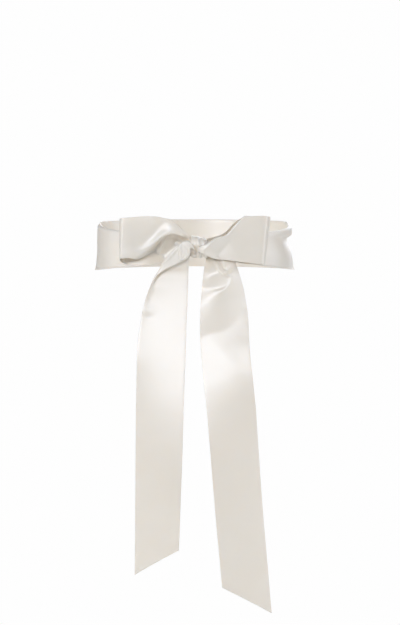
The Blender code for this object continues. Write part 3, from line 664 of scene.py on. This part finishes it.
LEFT_TAIL_SLANT = 0.0360
LEAF_START = 0.04  # how far past the fold the leaf begins, as a share of the width
LEAF_SOFT = 0.05
LEAF_CREASES = (
    # the rim of the cupped leaf, in the shape of a U
    table(
        "x z half_width height",
        (
            (-0.0205, -0.002, 0.0015, 0.0016),
            (-0.0205, -0.012, 0.0015, 0.0020),
            (-0.0190, -0.0185, 0.0016, 0.0024),
            (-0.0145, -0.0185, 0.0016, 0.0024),
            (-0.0095, -0.0125, 0.0015, 0.0020),
            (-0.0085, -0.005, 0.0015, 0.0014),
            (-0.0130, 0.000, 0.0015, 0.0006),
        ),
    ),
)

# the leaf's folded edge, which stands up a little towards the viewer
LEAF_RIM = table(
    "x z half_width height",
    (
        (-0.0400, -0.0230, 0.0016, 0.0006),
        (-0.0330, -0.0150, 0.0016, 0.0012),
        (-0.0260, -0.0060, 0.0016, 0.0014),
        (-0.0190, 0.0020, 0.0016, 0.0008),
    ),
)

grid, flat = ribbon_sheet(
    LEFT_TAIL, count(360), count(100), slant=LEFT_TAIL_SLANT, crowd=1.4, even_out=1.5
)
fold_place = np.interp(flat[..., 0], LEFT_TAIL["along"], LEFT_TAIL["fold_at"] / LEFT_TAIL["width"])
past_fold = smooth_step((flat[..., 1] / RIBBON_WIDTH - fold_place - LEAF_START) / LEAF_SOFT)
near_knot = before(flat, 0.080, 0.010)
grid = raise_creases(grid, LEAF_CREASES, past_fold * near_knot)
grid = raise_creases(grid, (LEAF_RIM,), near_knot)
# a shallow dent at the left edge, below the fold
grid = lean_oval(
    grid, (-0.0655, -0.0950), (0.0100, 0.0085), (0.0, -1.0), 0.0013, 0.0017, soft=(0.9, 0.9)
)
left_tail = cloth_piece("left_tail_cloth", grid, flat)
dress(left_tail, "left_tail", (RIBBON_WIDTH, 0.494))

# %% [markdown]
# ## The right tail
#
# The right tail is gathered at the knot, so a few short folds run out of it and die away below: a
# bright ridge that curls to the left, a small fold beside it, and two soft hollows between them.

# %% The right tail
RIGHT_TAIL = table(
    "along x y z facing lean width start crest_at crest_turn crest_soft",
    (
        (0.000, 0.0176, -0.1152, -0.0115, -90, -75, 0.0100, 0, 0.0050, 0, 0.0060),
        (0.009, 0.0168, -0.1174, -0.0165, -90, -35, 0.0250, 2, 0.0130, -4, 0.0100),
        (0.018, 0.0158, -0.1196, -0.0210, -90, -14, 0.0370, 9, 0.0230, -22, 0.0120),
        (0.026, 0.0148, -0.1214, -0.0258, -90, -4, 0.0440, 14, 0.0300, -40, 0.0130),
        (0.034, 0.0134, -0.1236, -0.0330, -90, -2, 0.0490, 18, 0.0350, -52, 0.0140),
        (0.042, 0.0125, -0.1256, -0.0410, -90, -2, 0.0540, 20, 0.0390, -60, 0.0140),
        (0.052, 0.0114, -0.1280, -0.0510, -90, -2, 0.0590, 20, 0.0400, -60, 0.0150),
        (0.062, 0.0105, -0.1307, -0.0610, -90, -2, 0.0620, 18, 0.0380, -52, 0.0170),
        (0.077, 0.0091, -0.1348, -0.0760, -90, -1, 0.0650, 15, 0.0320, -40, 0.0200),
        (0.093, 0.0082, -0.1386, -0.0920, -91, 0, 0.0670, 12, 0.0280, -28, 0.0220),
        (0.107, 0.0078, -0.1417, -0.1060, -92, 0, 0.0680, 9, 0.0260, -20, 0.0240),
        (0.126, 0.0080, -0.1454, -0.1245, -94, -1, 0.0680, 5, 0.0260, -12, 0.0260),
        (0.150, 0.0092, -0.1504, -0.1475, -96, -3, 0.0680, 2, 0.0300, -6, 0.0300),
        (0.180, 0.0118, -0.1574, -0.1765, -96, -5, 0.0680, 0, 0.0340, -4, 0.0340),
        (0.211, 0.0148, -0.1645, -0.2065, -95, -5, 0.0680, -1, 0.0340, -6, 0.0340),
        (0.245, 0.0180, -0.1704, -0.2370, -92, -5, 0.0680, -2, 0.0340, -8, 0.0340),
        (0.273, 0.0202, -0.1742, -0.2650, -90, -5, 0.0680, -3, 0.0340, -9, 0.0340),
        (0.300, 0.0224, -0.1761, -0.2910, -89, -5.2, 0.0680, -4, 0.0340, -10, 0.0340),
        (0.360, 0.0272, -0.1748, -0.3500, -89, -5.5, 0.0680, -6, 0.0340, -12, 0.0340),
        (0.487, 0.0384, -0.1656, -0.4735, -90, -5.5, 0.0680, -8, 0.0340, -14, 0.0340),
        (0.531, 0.0424, -0.1620, -0.5168, -90, -5.5, 0.0680, -9, 0.0340, -14, 0.0340),
    ),
)

RIGHT_TAIL_SLANT = 0.0440
RIGHT_TAIL_RIDGES = (
    # the edge of the gathers, from which a long gentle fall runs down to the right
    table(
        "x z half_width left_width height fall_to",
        (
            (0.0534, -0.0246, 0.0040, 0.0140, 0.0010, -0.0008),
            (0.0541, -0.0340, 0.0040, 0.0180, 0.0016, -0.0012),
            (0.0513, -0.0450, 0.0042, 0.0250, 0.0020, -0.0018),
            (0.0486, -0.0510, 0.0050, 0.0320, 0.0022, -0.0028),
            (0.0430, -0.0580, 0.0060, 0.0370, 0.0022, -0.0036),
            (0.0313, -0.0665, 0.0080, 0.0440, 0.0022, -0.0044),
            (0.0216, -0.0740, 0.0100, 0.0470, 0.0020, -0.0047),
            (0.0110, -0.0840, 0.0120, 0.0470, 0.0018, -0.0046),
            (0.0038, -0.0908, 0.0120, 0.0430, 0.0016, -0.0042),
            (-0.0060, -0.1000, 0.0120, 0.0330, 0.0014, -0.0032),
        ),
    ),
)

RIGHT_TAIL_CREASES = (
    # the small fold that curls out from under the loop
    table(
        "x z half_width height",
        (
            (0.0270, -0.0180, 0.0026, 0.0012),
            (0.0305, -0.0255, 0.0024, 0.0022),
            (0.0345, -0.0330, 0.0023, 0.0028),
            (0.0400, -0.0400, 0.0022, 0.0028),
            (0.0465, -0.0415, 0.0020, 0.0022),
            (0.0525, -0.0380, 0.0020, 0.0010),
        ),
    ),
    # the pocket behind that fold
    table(
        "x z half_width height",
        (
            (0.0370, -0.0240, 0.0032, -0.0034),
            (0.0400, -0.0320, 0.0030, -0.0040),
            (0.0455, -0.0350, 0.0028, -0.0028),
            (0.0500, -0.0300, 0.0030, -0.0012),
        ),
    ),
)

grid, flat = ribbon_sheet(
    RIGHT_TAIL, count(360), count(100), slant=RIGHT_TAIL_SLANT, crowd=1.4, even_out=2.0
)
grid = raise_creases(grid, RIGHT_TAIL_RIDGES, even_out=24)
# the round hollow above the edge of the gathers
grid = lean_oval(
    grid, (0.0306, -0.0460), (0.0176, 0.0156), (0.6, -0.8), 0.0030, 0.0084, soft=(0.8, 0.16)
)
grid = raise_creases(grid, RIGHT_TAIL_CREASES)
right_tail = cloth_piece("right_tail_cloth", grid, flat)
dress(right_tail, "right_tail", (RIBBON_WIDTH, 0.531))

# %% [markdown]
# ## The knot
#
# The strap of the knot is the same ribbon squeezed to a third of its width, so it is all fine
# pleats. It goes over the front of the knot, where its middle is pressed in. Inside it the layers
# are packed together, and that bundle shows only at the two ends.

# %% The knot
KNOT_RADII = (0.0084, 0.0092, 0.0122)
STRAP_WIDTH = 0.0222
STRAP_CLEARANCE = 0.0024
STRAP_SLOPE = -0.24
STRAP_HALF_TURN = 103
STRAP_PLEAT = 0.0006
STRAP_WAVES = 2.6
FINE_PLEAT = 0.00022
FINE_WAVES = 8.3
STRAP_CROWN = 0.52
HOLLOW_CENTRE = (0.0018, -0.0075)
HOLLOW_DEPTH = 0.0060
HOLLOW_SPREAD = 0.0052
BUNDLE_LAYERS = 7
GROOVE_DEPTH = 0.05


def hollowed(x, y, z):
    """The point moved into the knot where its front is hollow."""
    away = ((x - HOLLOW_CENTRE[0]) ** 2 + (z - HOLLOW_CENTRE[1]) ** 2) / HOLLOW_SPREAD**2
    depth = HOLLOW_DEPTH * math.exp(-away) if y < KNOT_CENTRE[1] else 0.0
    return np.array([x, y + depth, z])


def strap_sheet(count_along, count_across):
    """The strap over the knot, with fine pleats on top of its large ones."""
    half_turn = math.radians(STRAP_HALF_TURN)
    grid = np.empty((count_along, count_across, 3))
    flat = np.empty((count_along, count_across, 2))
    for i, angle in enumerate(np.linspace(half_turn, -half_turn, count_along)):
        for j, share in enumerate(np.linspace(-1.0, 1.0, count_across)):
            wave = STRAP_WAVES * math.pi * share + 0.4 + 1.3 * math.sin(angle)
            fine_wave = FINE_WAVES * math.pi * share + 2.1 * math.sin(angle + 0.5)
            pleat = STRAP_PLEAT * math.cos(wave)
            pleat += FINE_PLEAT * math.cos(fine_wave)
            crown = math.sqrt(1 - STRAP_CROWN * share * share)
            swell = STRAP_CLEARANCE + pleat
            grid[i, j] = hollowed(
                KNOT_CENTRE[0] + share * STRAP_WIDTH / 2,
                KNOT_CENTRE[1] - (KNOT_RADII[1] + swell) * crown * math.cos(angle),
                KNOT_CENTRE[2]
                + (KNOT_RADII[2] + swell) * (0.7 + 0.3 * crown) * math.sin(angle)
                + STRAP_SLOPE * share * STRAP_WIDTH / 2 * max(0.0, math.sin(angle)),
            )
            flat[i, j] = (half_turn - angle) * KNOT_RADII[2], (share + 1) / 2 * RIBBON_WIDTH
    return grid, flat


grid, flat = strap_sheet(count(90), count(90))
strap = cloth_piece("knot_strap", grid, flat)
dress(strap, "knot_wrap", (STRAP_WIDTH, 0.046))


def bundle_object(rings, spokes):
    """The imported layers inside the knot: a rounded bundle with grooves between the layers."""
    cx, cy, cz = KNOT_CENTRE
    points = [np.array([cx - KNOT_RADII[0], cy, cz])]
    for i in range(1, rings):
        share = -math.cos(math.pi * i / rings)
        radius = math.sin(math.pi * i / rings) ** 0.8
        for k in range(spokes):
            angle = 2 * math.pi * k / spokes
            wave = math.cos(BUNDLE_LAYERS * angle + 1.5 * share)
            groove = 1 - GROOVE_DEPTH * (0.5 + 0.5 * wave) ** 2
            out_y = KNOT_RADII[1] * radius * groove * math.cos(angle)
            out_z = KNOT_RADII[2] * radius * groove * math.sin(angle)
            points.append(hollowed(cx + share * KNOT_RADII[0], cy - out_y, cz + out_z))
    points.append(np.array([cx + KNOT_RADII[0], cy, cz]))
    last = len(points) - 1
    faces = []
    for k in range(spokes):
        following = (k + 1) % spokes
        faces.append((0, 1 + k, 1 + following))
        faces.append((last, last - spokes + following, last - spokes + k))
        for i in range(rings - 2):
            a, b = 1 + i * spokes + k, 1 + i * spokes + following
            faces.append((a, a + spokes, b + spokes, b))
    mesh = bpy.data.meshes.new("knot_bundle")
    mesh.from_pydata([p.tolist() for p in points], [], faces)
    mesh.shade_smooth()
    made = bpy.data.objects.new("knot_bundle", mesh)
    bpy.context.scene.collection.objects.link(made)
    return made


bundle = bundle_object(26, 84)
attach(bundle, "root")
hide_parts("knot_core")

# %% [markdown]
# ## Double-face satin
#
# Satin is woven so that long threads lie on top, side by side, along the ribbon. They act as a row
# of tiny rods: a light is drawn out across them into a broad soft shine. The ribbon is drawn
# polyester, whose IOR along the fibre is about 1.7. Its fibres are smooth, so the roughness is
# moderate, and the shader's anisotropy spreads the shine across the threads.
#
# The colour could be an even ivory, but a woven ribbon is never quite even. A noise with a grain
# of some centimetres makes it vary by a hair, and a finer one drawn out along the ribbon gives the
# threads. Real threads are about 0.1 mm apart, too fine to show, so they are drawn 0.5 mm apart.


# %% The satin
def linear(hex_colour):
    """An sRGB hex colour as the linear values that a shader takes."""
    parts = [int(hex_colour[k : k + 2], 16) / 255 for k in (1, 3, 5)]
    return (*(c / 12.92 if c <= 0.04045 else ((c + 0.055) / 1.055) ** 2.4 for c in parts), 1.0)


def add(tree, kind, settings=(), links=()):
    """A node of this kind, with its settings and its links from other nodes."""
    node = tree.nodes.new(kind)
    for name, value in dict(settings).items():
        if name in node.inputs:
            node.inputs[name].default_value = value
        else:
            setattr(node, name, value)
    for name, (source, output) in dict(links).items():
        tree.links.new(source.outputs[output], node.inputs[name])
    return node


IVORY = linear("#EEE5D7")
IVORY_DEEP = linear("#EBE1D1")
THREAD_MM = 0.5
THREAD_RUN_MM = 9.0
CLOUD_MM = 45.0

satin = bpy.data.materials.new("double_face_satin")
satin.use_nodes = True
tree = satin.node_tree
tree.nodes.clear()
output = add(tree, "ShaderNodeOutputMaterial")
ribbon_place = add(tree, "ShaderNodeUVMap", {"uv_map": "ribbon"})
thread_scale = add(
    tree,
    "ShaderNodeMapping",
    {"Scale": (1000 / THREAD_RUN_MM, 1000 / THREAD_MM, 1.0)},
    {"Vector": (ribbon_place, "UV")},
)
threads = add(
    tree,
    "ShaderNodeTexNoise",
    {"Scale": 1.0, "Detail": 2.0, "Roughness": 0.6},
    {"Vector": (thread_scale, "Vector")},
)
object_place = add(tree, "ShaderNodeTexCoord")
clouds = add(
    tree,
    "ShaderNodeTexNoise",
    {"Scale": 1000 / CLOUD_MM, "Detail": 2.0},
    {"Vector": (object_place, "Object")},
)
colour = add(
    tree,
    "ShaderNodeMix",
    {"data_type": "RGBA"},
    {"Factor": (clouds, "Fac")},
)
colour.inputs[6].default_value = IVORY
colour.inputs[7].default_value = IVORY_DEEP
gloss = add(
    tree,
    "ShaderNodeMapRange",
    {"From Min": 0.3, "From Max": 0.7, "To Min": 0.40, "To Max": 0.48},
    {"Value": (threads, "Fac")},
)
grain = add(
    tree,
    "ShaderNodeBump",
    {"Strength": 0.12, "Distance": 0.0001},
    {"Height": (threads, "Fac")},
)
across_threads = add(
    tree, "ShaderNodeTangent", {"direction_type": "UV_MAP", "uv_map": "ribbon"}
)
sheen = add(
    tree,
    "ShaderNodeBsdfPrincipled",
    {
        "IOR": 1.7,
        "Specular IOR Level": 1.0,
        "Subsurface Weight": 0.75,
        "Subsurface Radius": (1.0, 0.93, 0.82),
        "Subsurface Scale": 0.0005,
        "Anisotropic": 0.75,
        "Anisotropic Rotation": 0.25,
        "Sheen Weight": 0.08,
        "Sheen Roughness": 0.4,
    },
    {
        "Base Color": (colour, 2),
        "Roughness": (gloss, "Result"),
        "Normal": (grain, "Normal"),
        "Tangent": (across_threads, "Tangent"),
    },
)
tree.links.new(sheen.outputs["BSDF"], output.inputs["Surface"])
for piece in (waistband, left_loop, right_loop, left_tail, right_tail, strap, bundle):
    piece.data.materials.append(satin)
print(satin.name, "with", len(tree.nodes), "nodes")

# %% [markdown]
# ## Light, floor and backdrop
#
# White goods are photographed on white with a large soft light, so that folds show as soft shades
# and not as hard shadows. One broad light stands high in front on the left, and it draws the
# shine. Three wider ones fill from both sides and from beyond, and the rest comes from all round,
# as from white walls. The floor is pale and lies far below.

# %% The studio
FLOOR_DEPTH = -1.05
FLOOR_RADIUS = 4.5
FLOOR_SIDES = 96
COOL_WHITE = "#ECF2FE"
BOW_SIDE = (0.0, -0.1, -0.1)


def area_light(name, place, aim, size, power, colour_hex):
    """A square soft light that looks at a point."""
    light = bpy.data.lights.new(name, "AREA")
    light.shape = "SQUARE"
    light.size = size
    light.energy = power
    light.color = linear(colour_hex)[:3]
    lamp = bpy.data.objects.new(name, light)
    lamp.location = place
    toward = np.array(aim) - np.array(place)
    flat_distance = math.hypot(toward[0], toward[1])
    lamp.rotation_euler = (
        math.pi / 2 + math.atan2(toward[2], flat_distance),
        0,
        math.atan2(-toward[0], toward[1]),
    )
    lamp.visible_camera = False
    bpy.context.scene.collection.objects.link(lamp)


area_light("key", (-1.35, -2.85, 1.45), BOW_SIDE, 1.5, 71, COOL_WHITE)
area_light("right_fill", (4.0, -0.9, 1.0), BOW_SIDE, 3.6, 95, COOL_WHITE)
area_light("left_fill", (-4.0, -0.6, 1.0), BOW_SIDE, 3.6, 36, COOL_WHITE)
area_light("front_side", (1.0, 3.2, 1.6), (0.0, 0.1, 0.0), 2.4, 60, COOL_WHITE)

floor_mesh = bpy.data.meshes.new("floor")
spokes = [2 * math.pi * k / FLOOR_SIDES for k in range(FLOOR_SIDES)]
rim = [(FLOOR_RADIUS * math.cos(a), FLOOR_RADIUS * math.sin(a), FLOOR_DEPTH) for a in spokes]
floor_mesh.from_pydata(rim, [], [list(range(FLOOR_SIDES))])
floor = bpy.data.objects.new("floor", floor_mesh)
bpy.context.scene.collection.objects.link(floor)
paper = bpy.data.materials.new("white_paper_floor")
paper.use_nodes = True
paper_shader = paper.node_tree.nodes["Principled BSDF"]
paper_shader.inputs["Base Color"].default_value = linear("#FAF8F2")
paper_shader.inputs["Roughness"].default_value = 0.9
floor_mesh.materials.append(paper)

world = bpy.data.worlds.new("white_room")
bpy.context.scene.world = world
world.use_nodes = True
room = world.node_tree
room.nodes.clear()
seen = add(room, "ShaderNodeLightPath")
direction = add(room, "ShaderNodeTexCoord")
upward = add(room, "ShaderNodeSeparateXYZ", {}, {"Vector": (direction, "Generated")})
brighter_above = add(
    room,
    "ShaderNodeMapRange",
    {"From Min": -1.0, "From Max": 1.0, "To Min": 0.23, "To Max": 0.25},
    {"Value": (upward, "Z")},
)
walls = add(
    room,
    "ShaderNodeBackground",
    {"Color": linear(COOL_WHITE)},
    {"Strength": (brighter_above, "Result")},
)
backdrop = add(room, "ShaderNodeBackground", {"Color": linear("#FEFEFE"), "Strength": 1.0})
either = add(room, "ShaderNodeMixShader", {}, {"Fac": (seen, "Is Camera Ray")})
room.links.new(walls.outputs["Background"], either.inputs[1])
room.links.new(backdrop.outputs["Background"], either.inputs[2])
add(room, "ShaderNodeOutputWorld", {}, {"Surface": (either, "Shader")})
bpy.context.scene.view_settings.view_transform = "Standard"
